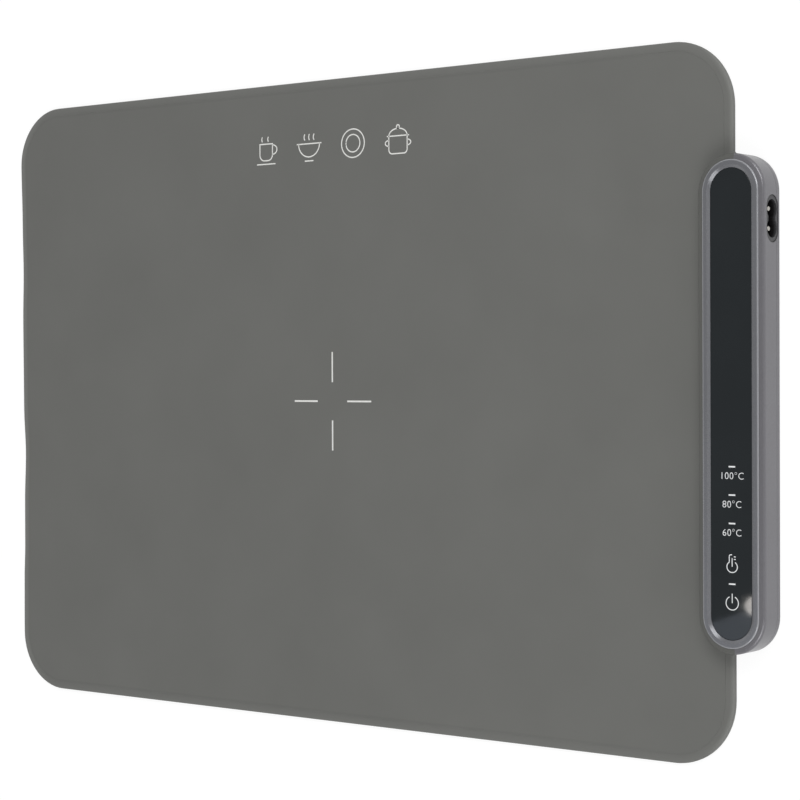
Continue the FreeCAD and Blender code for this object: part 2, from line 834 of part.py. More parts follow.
def make_triac():
    wide, long, high = triac_size
    x, y = board_place(triac_place)
    x0 = x - wide / 2
    x1 = x + wide / 2
    tab_start = y + long / 2
    tab_end = tab_start + triac_tab_length
    body = block(x0, x1, y - long / 2, tab_start, board_top, board_top + high)
    tab = block(x0, x1, tab_start, tab_end, board_top, board_top + triac_tab_thick)
    tab = tab.cut(post(x, tab_end - triac_tab_length / 2, triac_hole_radius, board_top, board_top + high))
    save("power_triac", body.fuse(tab))


# Inlet with a socket of two round lobes, its pins, and the wires from the pins to the power board.
def make_inlet():
    z = inlet_middle
    housing = inlet_slab(inlet_length, inlet_height, inlet_back, inlet_face)
    housing = housing.fuse(inlet_slab(
        inlet_length + 2 * inlet_collar_reach, inlet_height, collar_right - inlet_collar_thick, collar_right,
    ))
    socket = block(
        socket_end, inlet_face, inlet_place - socket_centre, inlet_place + socket_centre,
        z - socket_waist / 2, z + socket_waist / 2,
    )
    for side in (-1, 1):
        socket = socket.fuse(rod(socket_end, inlet_face, inlet_place + side * socket_centre, z, socket_radius))
    housing = housing.cut(socket)

    pins = []
    leads = []
    outer_wire_x = board_x0 + wire_edge_gap + wire_radius
    inner_wire_x = outer_wire_x + 2 * wire_radius + wire_gap
    tail_end = inner_wire_x + wire_start
    for place, wire_x, land in zip(pin_places, (inner_wire_x, outer_wire_x), wire_lands):
        housing = housing.cut(rod(inlet_back, socket_end, place, z, pin_tail_radius + thread_clear))
        tip = inlet_face - pin_sink
        pin = rod(socket_end, tip, place, z, pin_radius)
        tip_edges = [edge for edge in pin.Edges if edge.BoundBox.XMin > tip - pin_tip_round]
        pin = pin.makeFillet(pin_tip_round, tip_edges)
        pins.append(pin.fuse(rod(tail_end, socket_end, place, z, pin_tail_radius)))
        land_y = board_back - land
        leads.append(bent_wire([
            Vector(tail_end, place, z), Vector(wire_x, place, z),
            Vector(wire_x, land_y, z), Vector(wire_x, land_y, board_top),
        ], wire_radius, wire_bend))
    save("inlet_housing", housing.removeSplitter())
    save_group("inlet_pins", pins)
    save_group("inlet_leads", leads)


mat = mat_blank()
make_strips(mat)
make_anchor(mat)
make_leads()
make_lower_shell()
case_cuff = cuff_shape(mat)
save("case_cuff", case_cuff)
make_upper_shell(case_cuff)
make_case_fittings()
make_lens_and_bezel()
make_display()
make_header()
make_power_board()
make_fuse()
make_varistor()
make_capacitors()
make_inductor()
make_cutout()
make_triac()
make_inlet()
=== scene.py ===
import json
import math

import bmesh
import bpy
import numpy as np
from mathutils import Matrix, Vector


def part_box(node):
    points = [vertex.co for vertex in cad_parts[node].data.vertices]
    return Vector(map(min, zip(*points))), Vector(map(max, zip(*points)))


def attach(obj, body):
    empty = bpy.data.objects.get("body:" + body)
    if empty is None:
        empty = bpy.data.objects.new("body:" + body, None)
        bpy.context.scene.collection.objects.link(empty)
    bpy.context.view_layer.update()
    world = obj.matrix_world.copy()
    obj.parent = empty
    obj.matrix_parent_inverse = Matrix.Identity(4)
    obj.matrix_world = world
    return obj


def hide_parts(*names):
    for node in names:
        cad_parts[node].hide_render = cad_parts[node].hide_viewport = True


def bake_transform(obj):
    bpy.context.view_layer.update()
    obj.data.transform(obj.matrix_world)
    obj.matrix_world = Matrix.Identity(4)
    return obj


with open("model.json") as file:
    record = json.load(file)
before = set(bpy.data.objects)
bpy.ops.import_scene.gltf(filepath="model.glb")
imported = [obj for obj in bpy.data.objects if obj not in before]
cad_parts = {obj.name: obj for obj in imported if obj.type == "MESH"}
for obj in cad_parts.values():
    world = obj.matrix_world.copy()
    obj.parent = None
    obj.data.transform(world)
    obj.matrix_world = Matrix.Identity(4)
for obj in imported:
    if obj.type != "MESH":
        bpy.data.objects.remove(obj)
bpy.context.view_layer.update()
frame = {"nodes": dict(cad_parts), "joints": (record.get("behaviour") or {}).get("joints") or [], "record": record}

mm = 0.001
nodes = frame["nodes"]
hinges = frame["joints"]
scene = bpy.context.scene
print("frame: %d solids, %d hinges" % (len(nodes), len(hinges)))

sheetLow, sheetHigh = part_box("mat_strip_13")  # the strip at the free end, as wide and thick as the mat
sheetTop = sheetHigh.z
halfWidth = sheetHigh.y
freeEdge = sheetLow.x
matLength = 450 * mm
matCorner = 30 * mm


# an sRGB colour, 0 to 255, as the linear colour a shader takes
def tone(red, green, blue):
    part = np.array([red, green, blue]) / 255.0
    linear = np.where(part <= 0.04045, part / 12.92, ((part + 0.055) / 1.055) ** 2.4)
    return (*linear.tolist(), 1.0)


# shader groups are made once, then placed in each finish with its own sizes
def newGroup(name, inputs, outputs):
    group = bpy.data.node_groups.new(name, "ShaderNodeTree")
    for label, kind, value in inputs:
        socket = group.interface.new_socket(name=label, in_out="INPUT", socket_type=kind)
        if value is not None:
            socket.default_value = value
    for label in outputs:
        group.interface.new_socket(name=label, in_out="OUTPUT", socket_type="NodeSocketFloat")
    return group, group.nodes.new("NodeGroupInput"), group.nodes.new("NodeGroupOutput")


def addNode(tree, kind, **settings):
    node = tree.nodes.new(kind)
    for key, value in settings.items():
        setattr(node, key, value)
    return node


# a value spread from one range to another, held at both ends
def spread(tree, source, low, high, toLow=0.0, toHigh=1.0):
    ranged = addNode(tree, "ShaderNodeMapRange")
    ranged.inputs["From Min"].default_value = low
    ranged.inputs["From Max"].default_value = high
    ranged.inputs["To Min"].default_value = toLow
    ranged.inputs["To Max"].default_value = toHigh
    tree.links.new(source, ranged.inputs["Value"])
    return ranged.outputs[0]


# full up to the low value, nothing from the high one on
def fade(tree, source, low, high):
    return spread(tree, source, low, high, 1.0, 0.0)


# noises of the finishes; the levels are those that become 0 and 1
patterns = {
    "Grain": {"detail": 3.0, "roughness": 0.6, "levels": (0.25, 0.75)},
    "Shade": {"detail": 4.0, "roughness": 0.55, "levels": (0.3, 0.7)},
    "Lines": {"detail": 2.0, "roughness": 0.5, "levels": (0.3, 0.7), "stretch": (0.04, 1.0, 1.0)},
}


# place divided by size, so that one unit of a pattern is one grain, line or flake
def sizedPlace(group, place, size):
    inverse = addNode(group, "ShaderNodeMath", operation="DIVIDE")
    inverse.inputs[0].default_value = 1.0
    group.links.new(size, inverse.inputs[1])
    scaled = addNode(group, "ShaderNodeVectorMath", operation="SCALE")
    group.links.new(place, scaled.inputs[0])
    group.links.new(inverse.outputs[0], scaled.inputs["Scale"])
    return scaled.outputs[0]


def patternNoise(group, place, size, pattern):
    noise = addNode(group, "ShaderNodeTexNoise")
    noise.inputs["Scale"].default_value = 1.0
    noise.inputs["Detail"].default_value = pattern["detail"]
    noise.inputs["Roughness"].default_value = pattern["roughness"]
    group.links.new(sizedPlace(group, place, size), noise.inputs["Vector"])
    return spread(group, noise.outputs[0], *pattern["levels"])


# moulded grain: a fine noise for the touch of the surface, a broad one for its shade
def makeGrainGroup():
    group, start, stop = newGroup(
        "mouldedGrain",
        [("Place", "NodeSocketVector", None), ("Grain Size", "NodeSocketFloat", 0.3 * mm),
         ("Shade Size", "NodeSocketFloat", 50 * mm)],
        ["Grain", "Shade"],
    )
    for label in ("Grain", "Shade"):
        size = start.outputs[label + " Size"]
        level = patternNoise(group, start.outputs["Place"], size, patterns[label])
        group.links.new(level, stop.inputs[label])
    return group


# drawn lines: a noise stretched along X, as rolling and brushing leave on metal
def makeLinesGroup():
    group, start, stop = newGroup(
        "drawnLines",
        [("Place", "NodeSocketVector", None), ("Line Size", "NodeSocketFloat", 0.4 * mm)],
        ["Lines"],
    )
    stretch = addNode(group, "ShaderNodeVectorMath", operation="MULTIPLY")
    stretch.inputs[1].default_value = patterns["Lines"]["stretch"]
    group.links.new(start.outputs["Place"], stretch.inputs[0])
    level = patternNoise(group, stretch.outputs[0], start.outputs["Line Size"], patterns["Lines"])
    group.links.new(level, stop.inputs["Lines"])
    return group


# metal flakes: one random level in each small cell
def makeFlakeGroup():
    group, start, stop = newGroup(
        "paintFlake",
        [("Place", "NodeSocketVector", None), ("Flake Size", "NodeSocketFloat", 0.2 * mm)],
        ["Flake"],
    )
    cells = addNode(group, "ShaderNodeTexVoronoi")
    cells.inputs["Scale"].default_value = 1.0
    place = sizedPlace(group, start.outputs["Place"], start.outputs["Flake Size"])
    group.links.new(place, cells.inputs["Vector"])
    level = addNode(group, "ShaderNodeSeparateColor")
    group.links.new(cells.outputs["Color"], level.inputs[0])
    group.links.new(level.outputs[0], stop.inputs["Flake"])
    return group


# distance in from a rounded rectangle about a middle: the corner radius, less the length of what lies
# beyond the straight part on both axes, less the larger of the two where neither does
def makeInsetGroup():
    group, start, stop = newGroup(
        "outlineInset",
        [("Place", "NodeSocketVector", None), ("Middle", "NodeSocketVector", None),
         ("Half Size", "NodeSocketVector", None), ("Corner", "NodeSocketFloat", matCorner)],
        ["Inset"],
    )

    def vectorMath(operation, first, second=None):
        node = addNode(group, "ShaderNodeVectorMath", operation=operation)
        group.links.new(first, node.inputs[0])
        if second is not None:
            group.links.new(second, node.inputs[1])
        return node.outputs["Value" if operation == "LENGTH" else "Vector"]

    def plainMath(operation, first, second=None):
        node = addNode(group, "ShaderNodeMath", operation=operation)
        group.links.new(first, node.inputs[0])
        node.inputs[1].default_value = 0.0
        if second is not None:
            group.links.new(second, node.inputs[1])
        return node.outputs[0]

    away = vectorMath("ABSOLUTE", vectorMath("SUBTRACT", start.outputs["Place"], start.outputs["Middle"]))
    beyond = addNode(group, "ShaderNodeSeparateXYZ")
    group.links.new(vectorMath("SUBTRACT", away, start.outputs["Half Size"]), beyond.inputs[0])
    overX = plainMath("ADD", beyond.outputs["X"], start.outputs["Corner"])
    overY = plainMath("ADD", beyond.outputs["Y"], start.outputs["Corner"])
    outside = addNode(group, "ShaderNodeCombineXYZ")
    group.links.new(plainMath("MAXIMUM", overX), outside.inputs["X"])
    group.links.new(plainMath("MAXIMUM", overY), outside.inputs["Y"])
    inside = plainMath("MINIMUM", plainMath("MAXIMUM", overX, overY))
    rest = plainMath("SUBTRACT", start.outputs["Corner"], vectorMath("LENGTH", outside.outputs[0]))
    group.links.new(plainMath("SUBTRACT", rest, inside), stop.inputs["Inset"])
    return group


mouldedGrain = makeGrainGroup()
drawnLines = makeLinesGroup()
paintFlake = makeFlakeGroup()
outlineInset = makeInsetGroup()


# a group in a finish; an underscore in the name of a size stands for the space in its socket's name
def placeGroup(tree, group, place, **sizes):
    node = addNode(tree, "ShaderNodeGroup", node_tree=group)
    tree.links.new(place, node.inputs["Place"])
    for label, value in sizes.items():
        node.inputs[label.replace("_", " ")].default_value = value
    return node


def insetFrom(tree, place, look):
    node = placeGroup(tree, outlineInset, place, Middle=look["middle"], Half_Size=look["half"],
                      Corner=look["corner"])
    return node.outputs["Inset"]


def mixTones(tree, factor, first, second):
    mix = addNode(tree, "ShaderNodeMix", data_type="RGBA")
    tree.links.new(factor, mix.inputs["Factor"])
    # sockets 6 and 7 are A and B of a mix of colours, and 2 is its result
    for socket, value in ((mix.inputs[6], first), (mix.inputs[7], second)):
        if isinstance(value, tuple):
            socket.default_value = value
        else:
            tree.links.new(value, socket)
    return mix.outputs[2]


# a material with its shader, and the place its patterns read: the object's own coordinates,
# or the place each point had before the sheet was bent
def newFinish(name, rest=False):
    material = bpy.data.materials.new(name)
    material.use_nodes = True
    tree = material.node_tree
    tree.nodes.clear()
    shader = addNode(tree, "ShaderNodeBsdfPrincipled")
    output = addNode(tree, "ShaderNodeOutputMaterial")
    tree.links.new(shader.outputs[0], output.inputs["Surface"])
    if rest:
        place = addNode(tree, "ShaderNodeAttribute", attribute_name="restPlace").outputs["Vector"]
    else:
        place = addNode(tree, "ShaderNodeTexCoord").outputs["Object"]
    return material, tree, shader, place


def addBump(tree, shader, height, depth):
    bump = addNode(tree, "ShaderNodeBump")
    bump.inputs["Strength"].default_value = 1.0
    bump.inputs["Distance"].default_value = depth
    tree.links.new(height, bump.inputs["Height"])
    tree.links.new(bump.outputs[0], shader.inputs["Normal"])


# what every grained finish has: roughness and bump from the fine noise, and two shades over the broad one,
# which are handed back for the base colour
def grainedFinish(name, look, rest=False):
    material, tree, shader, place = newFinish(name, rest)
    grain = placeGroup(tree, mouldedGrain, place, Grain_Size=look["grain"], Shade_Size=look["shade"])
    roughness = spread(tree, grain.outputs["Grain"], 0.0, 1.0, *look["rough"])
    tree.links.new(roughness, shader.inputs["Roughness"])
    addBump(tree, shader, grain.outputs["Grain"], look["bump"])
    for label, socket in (("gloss", "Specular IOR Level"), ("metal", "Metallic")):
        if label in look:
            shader.inputs[socket].default_value = look[label]
    ground = mixTones(tree, grain.outputs["Shade"], tone(*look["dark"]), tone(*look["light"]))
    return material, tree, shader, place, ground


# moulded parts: the plain grained finish
def mouldedFinish(name, look, rest=False):
    material, tree, shader, _, ground = grainedFinish(name, look, rest)
    tree.links.new(ground, shader.inputs["Base Color"])
    return material


# the mat: moulded silicone, painted lighter along its border as painted light, wider at the free end and
# narrower at the held one, with a faint painted shade line where the border begins on the long sides
def sheetFinish(name, look, rest=False):
    material, tree, shader, place, ground = grainedFinish(name, look, rest)
    inset = insetFrom(tree, place, look)
    along = addNode(tree, "ShaderNodeSeparateXYZ")
    tree.links.new(place, along.inputs[0])
    # painted light: the border lighter at the sides, the free end and the held end, each over its own inset
    sides, free, held = [
        mixTones(tree, fade(tree, inset, *look[label + "Inset"]), ground, tone(*look[label + "PaintedLight"]))
        for label in ("side", "free", "held")
    ]
    borderLit = mixTones(tree, spread(tree, along.outputs["X"], *look["freeEnd"]), free, sides)
    borderLit = mixTones(tree, spread(tree, along.outputs["X"], *look["heldEnd"]), borderLit, held)
    # painted shade: a faint dark line in the step where the border begins, fading out towards the held end
    line = addNode(tree, "ShaderNodeMath", operation="COMPARE")
    line.inputs[1].default_value = look["lineInset"]
    line.inputs[2].default_value = look["lineWidth"] / 2
    tree.links.new(inset, line.inputs[0])
    share = addNode(tree, "ShaderNodeMath", operation="MULTIPLY")
    tree.links.new(line.outputs[0], share.inputs[0])
    strength = spread(tree, along.outputs["X"], *look["lineEnd"], look["lineShare"], 0.0)
    tree.links.new(strength, share.inputs[1])
    stepShaded = mixTones(tree, share.outputs[0], borderLit, tone(*look["line"]))
    tree.links.new(stepShaded, shader.inputs["Base Color"])
    return material


# painted parts: metal flakes under a satin coat, on the moulded grain; a frame also has a painted highlight along
# its rim
def paintedFinish(name, look):
    material, tree, shader, place, ground = grainedFinish(name, look)
    if "rim" in look:
        # painted highlight: a bright line along the frame's outer rim
        rim = fade(tree, insetFrom(tree, place, look), *look["rimHighlightInset"])
        ground = mixTones(tree, rim, ground, tone(*look["rim"]))
    flake = placeGroup(tree, paintFlake, place, Flake_Size=look["flake"]).outputs["Flake"]
    share = spread(tree, flake, look["flakeFrom"], 1.0, 0.0, look["flakeShare"])
    tree.links.new(mixTones(tree, share, ground, tone(*look["bright"])), shader.inputs["Base Color"])
    return material


# the inlet: moulded plastic, painted darker from the rim of its face to the inside of its socket as painted shade,
# and painted darker at the gap round the face as painted shade
def inletFinish(name, look):
    material, tree, shader, place, ground = grainedFinish(name, look)
    across = addNode(tree, "ShaderNodeSeparateXYZ")
    tree.links.new(place, across.inputs[0])
    near, far = look["rim"]
    # painted shade: darker deeper in the socket
    depth = fade(tree, across.outputs["X"], look["face"] - far, look["face"] - near)
    socketShaded = mixTones(tree, depth, ground, tone(*look["inside"]))
    upright = addNode(tree, "ShaderNodeCombineXYZ")
    tree.links.new(across.outputs["Y"], upright.inputs["X"])
    tree.links.new(across.outputs["Z"], upright.inputs["Y"])
    # painted shade: a dark line along the gap round the face
    gapShade = fade(tree, insetFrom(tree, upright.outputs[0], look), *look["gapShadeInset"])
    tree.links.new(mixTones(tree, gapShade, socketShaded, tone(*look["gapShade"])), shader.inputs["Base Color"])
    return material


# bare metal: drawn lines in colour, roughness and bump
def metalFinish(name, look):
    material, tree, shader, place = newFinish(name)
    lines = placeGroup(tree, drawnLines, place, Line_Size=look["line"]).outputs["Lines"]
    shades = mixTones(tree, lines, tone(*look["dark"]), tone(*look["light"]))
    tree.links.new(shades, shader.inputs["Base Color"])
    tree.links.new(spread(tree, lines, 0.0, 1.0, *look["rough"]), shader.inputs["Roughness"])
    addBump(tree, shader, lines, look["bump"])
    shader.inputs["Metallic"].default_value = 1.0
    return material


siliconeTouch = {
    "grain": 0.35 * mm, "shade": 60 * mm, "rough": (0.55, 0.72), "bump": 0.012 * mm, "gloss": 0.35,
}
# an inset is measured in from the outline, and an end is a stretch along the mat where one look turns into
# the next
siliconeLook = {
    **siliconeTouch, "dark": (106, 106.6, 103.5), "light": (110, 110.6, 107.5),
    "middle": (freeEdge + matLength / 2, 0.0, 0.0), "half": (matLength / 2, halfWidth, 0.0),
    "corner": matCorner,
    # painted light: lighter tones along the border at the sides, the free end and the held end
    "sidePaintedLight": (113.5, 114.1, 111), "sideInset": (0.3 * mm, 4.0 * mm),
    "freePaintedLight": (119.5, 120.1, 117), "freeInset": (2.4 * mm, 5.4 * mm), "freeEnd": (-232 * mm, -215 * mm),
    "heldPaintedLight": (121, 121.6, 118.5), "heldInset": (0.8 * mm, 2.2 * mm), "heldEnd": (199 * mm, 208 * mm),
    # painted shade: the dark line in the border's step
    "line": (92, 92.6, 89.5), "lineInset": 4.9 * mm, "lineWidth": 1.0 * mm, "lineShare": 0.15,
    "lineEnd": (150 * mm, 195 * mm),
}
# the cuff: the mat's silicone painted darker, as painted shade on its flank that faces away from the light
cuffShadeLook = {**siliconeTouch, "dark": (90, 90.6, 87.5), "light": (94, 94.6, 91.5)}
caseLook = {
    "dark": (110, 109, 113), "light": (114, 113, 117), "bright": (150, 149, 154), "grain": 0.25 * mm,
    "shade": 40 * mm, "flake": 0.12 * mm, "flakeFrom": 0.55, "flakeShare": 0.35, "rough": (0.26, 0.34),
    "bump": 0.002 * mm, "metal": 0.35,
}
frameLow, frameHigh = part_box("bezel_ring")
frameMiddle, frameHalf = (frameLow + frameHigh) / 2, (frameHigh - frameLow) / 2
bezelLook = {
    "dark": (115, 116, 120), "light": (119, 120, 124), "bright": (154, 155, 160), "grain": 0.2 * mm,
    "shade": 30 * mm, "flake": 0.1 * mm, "flakeFrom": 0.55, "flakeShare": 0.3, "rough": (0.22, 0.3),
    # rim: a painted highlight along the frame's outer edge
    "bump": 0.0015 * mm, "metal": 0.35, "rim": (158, 159, 163), "rimHighlightInset": (0.45 * mm, 0.85 * mm),
    "middle": (frameMiddle.x, frameMiddle.y, 0.0), "half": (frameHalf.x, frameHalf.y, 0.0),
    "corner": frameHalf.x,
}
lensLook = {
    "dark": (26, 31, 34), "light": (29, 34, 37), "grain": 6.0 * mm, "shade": 30 * mm,
    "rough": (0.015, 0.04), "bump": 0.0003 * mm,
}
inletLow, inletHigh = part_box("inlet_housing")
inletMiddle, inletHalf = (inletLow + inletHigh) / 2, (inletHigh - inletLow) / 2
inletCollar = 1.5 * mm  # the hidden collar reaches this far past each end of the face
inletLook = {
    # inside: painted shade deep in the socket
    "dark": (58, 58, 60), "light": (64, 64, 67), "inside": (13, 12, 13), "grain": 0.22 * mm,
    "shade": 8 * mm, "rough": (0.42, 0.55), "bump": 0.006 * mm,
    "face": inletHigh.x, "rim": (0.3 * mm, 1.6 * mm),
    # gap: painted shade along the gap round the face
    "gapShade": (20, 20, 21), "gapShadeInset": (0.25 * mm, 0.6 * mm),
    "middle": (inletMiddle.y, inletMiddle.z, 0.0), "half": (inletHalf.y - inletCollar, inletHalf.z, 0.0),
    "corner": inletHalf.z,
}
printLook = {
    "dark": (226, 226, 222), "light": (238, 238, 235), "grain": 0.3 * mm, "shade": 3 * mm,
    "rough": (0.5, 0.65), "bump": 0.004 * mm, "gloss": 0.3,
}
markLook = {
    "dark": (232, 234, 236), "light": (242, 243, 244), "grain": 0.2 * mm, "shade": 2 * mm,
    "rough": (0.25, 0.35), "bump": 0.002 * mm,
}
# other moulded parts, by slot: name of the finish, dark and light shade, size of the grain and of the shade,
# roughness, bump; sizes in millimetres
mouldedParts = {
    "heater_carbon": ("carbonFilm", (28, 28, 29), (44, 44, 45), 0.2, 4, (0.5, 0.7), 0.004),
    "seal_rubber": ("sealRubber", (34, 34, 35), (42, 42, 43), 0.2, 5, (0.6, 0.75), 0.006),
    "board_green": ("boardMask", (22, 78, 46), (34, 104, 62), 0.3, 6, (0.3, 0.42), 0.003),
    "part_black": ("partBlack", (30, 30, 31), (40, 40, 41), 0.12, 3, (0.45, 0.6), 0.004),
    "part_yellow": ("partYellow", (196, 160, 58), (210, 176, 72), 0.15, 4, (0.35, 0.5), 0.003),
    "part_blue": ("partBlue", (40, 86, 146), (54, 104, 166), 0.4, 2, (0.25, 0.4), 0.006),
    "lamp_clear": ("lampClear", (226, 224, 206), (240, 238, 224), 0.3, 1, (0.08, 0.16), 0.001),
    "pad_grey": ("padFoam", (122, 122, 124), (146, 146, 148), 0.3, 2, (0.7, 0.85), 0.02),
    "fuse_glass": ("fuseGlaze", (204, 206, 202), (222, 223, 220), 0.4, 3, (0.12, 0.22), 0.002),
    "wire_black": ("leadSleeve", (44, 44, 46), (54, 54, 56), 0.3, 4, (0.4, 0.55), 0.004),
    "sensor_amber": ("amberFilm", (150, 92, 28), (176, 112, 40), 0.3, 3, (0.18, 0.3), 0.002),
}
# metal parts, by slot: name of the finish, dark and light shade, width of the lines, roughness, bump
metalParts = {
    "pin_nickel": ("pinNickel", (166, 163, 157), (190, 187, 181), 0.15, (0.16, 0.26), 0.001),
    "screw_steel": ("screwSteel", (150, 151, 153), (196, 197, 199), 0.2, (0.25, 0.4), 0.002),
    "can_silver": ("drawnCan", (176, 177, 180), (206, 207, 210), 0.3, (0.22, 0.36), 0.002),
}

siliconeSheet = sheetFinish("siliconeSheet", siliconeLook, rest=True)
shadedSiliconeCuff = mouldedFinish("shadedSiliconeCuff", cuffShadeLook)
sheetPrint = mouldedFinish("sheetPrint", printLook, rest=True)
lensMark = mouldedFinish("lensMark", markLook)
slotFinish = {
    "silicone": sheetFinish("siliconeAnchor", siliconeLook),
    "case_paint": paintedFinish("casePaint", caseLook),
    "bezel_satin": paintedFinish("bezelPaint", bezelLook),
    "lens_black": mouldedFinish("lensGloss", lensLook),
    "inlet_black": inletFinish("inletPlastic", inletLook),
}
for slot, (name, dark, light, grain, shade, rough, bump) in mouldedParts.items():
    look = {"dark": dark, "light": light, "grain": grain * mm, "shade": shade * mm}
    slotFinish[slot] = mouldedFinish(name, {**look, "rough": rough, "bump": bump * mm})
for slot, (name, dark, light, line, rough, bump) in metalParts.items():
    look = {"dark": dark, "light": light, "line": line * mm}
    slotFinish[slot] = metalFinish(name, {**look, "rough": rough, "bump": bump * mm})
slotFinish["clamp_steel"] = slotFinish["screw_steel"]
nodeFinish = {"case_cuff": shadedSiliconeCuff}  # silicone too, painted darker than the mat as painted shade
for row in frame["record"]["subparts"]:
    slots = nodes[row["node"]].data.materials
    slots.clear()
    slots.append(nodeFinish.get(row["node"], slotFinish[row["material_slot"]]))
print("finishes: %d on the solids" % len(slotFinish))


# quads of a grid of rows by columns; a wrapped grid joins its last column to its first
def gridQuads(rows, columns, wrap=False):
    place = np.arange(rows * columns).reshape(rows, columns)
    if wrap:
        place = np.hstack([place, place[:, :1]])
    corners = [place[:-1, :-1], place[1:, :-1], place[1:, 1:], place[:-1, 1:]]
    return np.stack(corners, axis=-1).reshape(-1, 4)


mergeDistance = 1e-7


# a closed piece from points and quads: doubles merged, open ends capped, faces turned outwards; edges that
# turn by more than the sharp angle, in degrees, stay crisp
def newPiece(name, points, quads, finish, sharp):
    mesh = bpy.data.meshes.new(name)
    mesh.from_pydata(points.tolist(), [], quads.tolist())
    work = bmesh.new()
    work.from_mesh(mesh)
    bmesh.ops.remove_doubles(work, verts=work.verts, dist=mergeDistance)
    bmesh.ops.holes_fill(work, edges=[edge for edge in work.edges if edge.is_boundary], sides=0)
    bmesh.ops.recalc_face_normals(work, faces=work.faces)
    work.to_mesh(mesh)
    work.free()
    mesh.shade_smooth()
    mesh.set_sharp_from_angle(angle=math.radians(sharp))
    rest = np.empty(len(mesh.vertices) * 3, np.float32)
    mesh.vertices.foreach_get("co", rest)
    mesh.attributes.new("restPlace", "FLOAT_VECTOR", "POINT").data.foreach_set("vector", rest)
    mesh.materials.append(finish)
    piece = bpy.data.objects.new(name, mesh)
    scene.collection.objects.link(piece)
    return piece


sheet = {
    "borderWidth": 4.2 * mm,    # sloping border round the heated face
    "borderStep": 0.12 * mm,    # from the face down to the border
    "borderFall": 0.5 * mm,     # from there down to the outline
    "borderBevel": 0.04 * mm,
    "edgeRound": 0.8 * mm,
    "sharp": 35.0,
    "roundSteps": 5,
    "coreInset": 6.0 * mm,      # where the edge profile ends and the flat faces begin
    "bendLength": 20.0 * mm,    # the stretch that turns at one hinge, flat on both sides of it
    "stations": 17,             # along one strip
    "across": 48,
    "cornerSteps": 16,
    # how far the free edge draws in from a straight line, at places across the mat
    "drawPlaces": np.array([-160, -125, -100, -82, -58, -30, -4, 44, 70, 98, 132, 160]) * mm,
    "drawDepths": np.array([0.0, 0.0, 0.2, 0.9, 1.0, 2.0, 0.8, 0.6, 1.2, 0.7, 0.0, 0.0]) * mm,
}
stripLength = hinges[0]["pos_m"][0] - hinges[1]["pos_m"][0]


# inset from the outline and height: heated face, small step, slope down to a round edge that is tangent
# to the slope and the side, then the round lower edge and the underside
def edgeProfile():
    radius, bevel, width = sheet["edgeRound"], sheet["borderBevel"], sheet["borderWidth"]
    slope = sheet["borderFall"] / width
    border = sheetTop - sheet["borderStep"]
    step = np.array([
        [sheet["coreInset"], sheetTop], [width + bevel, sheetTop], [width, sheetTop - bevel],
        [width, border + bevel], [width - bevel, border - slope * bevel],
    ])
    centre = border - slope * (width - radius) - radius * math.hypot(1.0, slope)
    turn = np.linspace(math.atan(slope), math.pi / 2, sheet["roundSteps"] + 1)
    upper = np.column_stack([radius - radius * np.sin(turn), centre + radius * np.cos(turn)])
    turn = np.linspace(0.0, math.pi / 2, sheet["roundSteps"] + 1)
    lower = np.column_stack([radius - radius * np.cos(turn), radius - radius * np.sin(turn)])
    return np.vstack([step, upper, lower, [[sheet["coreInset"], 0.0]]])


# a strip between two places along the mat: its closed section carried straight along X
def straightStrip(right, left):
    inset, height = edgeProfile().T
    coreHalf = halfWidth - sheet["coreInset"]
    inner = np.linspace(coreHalf, -coreHalf, sheet["across"] + 1)[1:-1]
    sectionY = np.concatenate([halfWidth - inset, inner, inset[::-1] - halfWidth, inner[::-1]])
    sectionZ = np.concatenate([height, 0 * inner, height[::-1], 0 * inner + sheetTop])
    alongX = np.linspace(right, left, sheet["stations"])
    gridX, gridY = np.meshgrid(alongX, sectionY, indexing="ij")
    gridZ = np.broadcast_to(sectionZ, gridX.shape)
    points = np.stack([gridX, gridY, gridZ], axis=-1).reshape(-1, 3)
    return points, gridQuads(len(alongX), len(sectionY), wrap=True)


# how far the free edge draws in at each place across, eased between the given places
def edgeDraw(across):
    places, depths = sheet["drawPlaces"], sheet["drawDepths"]
    index = np.clip(np.searchsorted(places, across) - 1, 0, len(places) - 2)
    share = np.clip((across - places[index]) / (places[index + 1] - places[index]), 0.0, 1.0)
    share = share * share * (3.0 - 2.0 * share)
    return depths[index] + (depths[index + 1] - depths[index]) * share


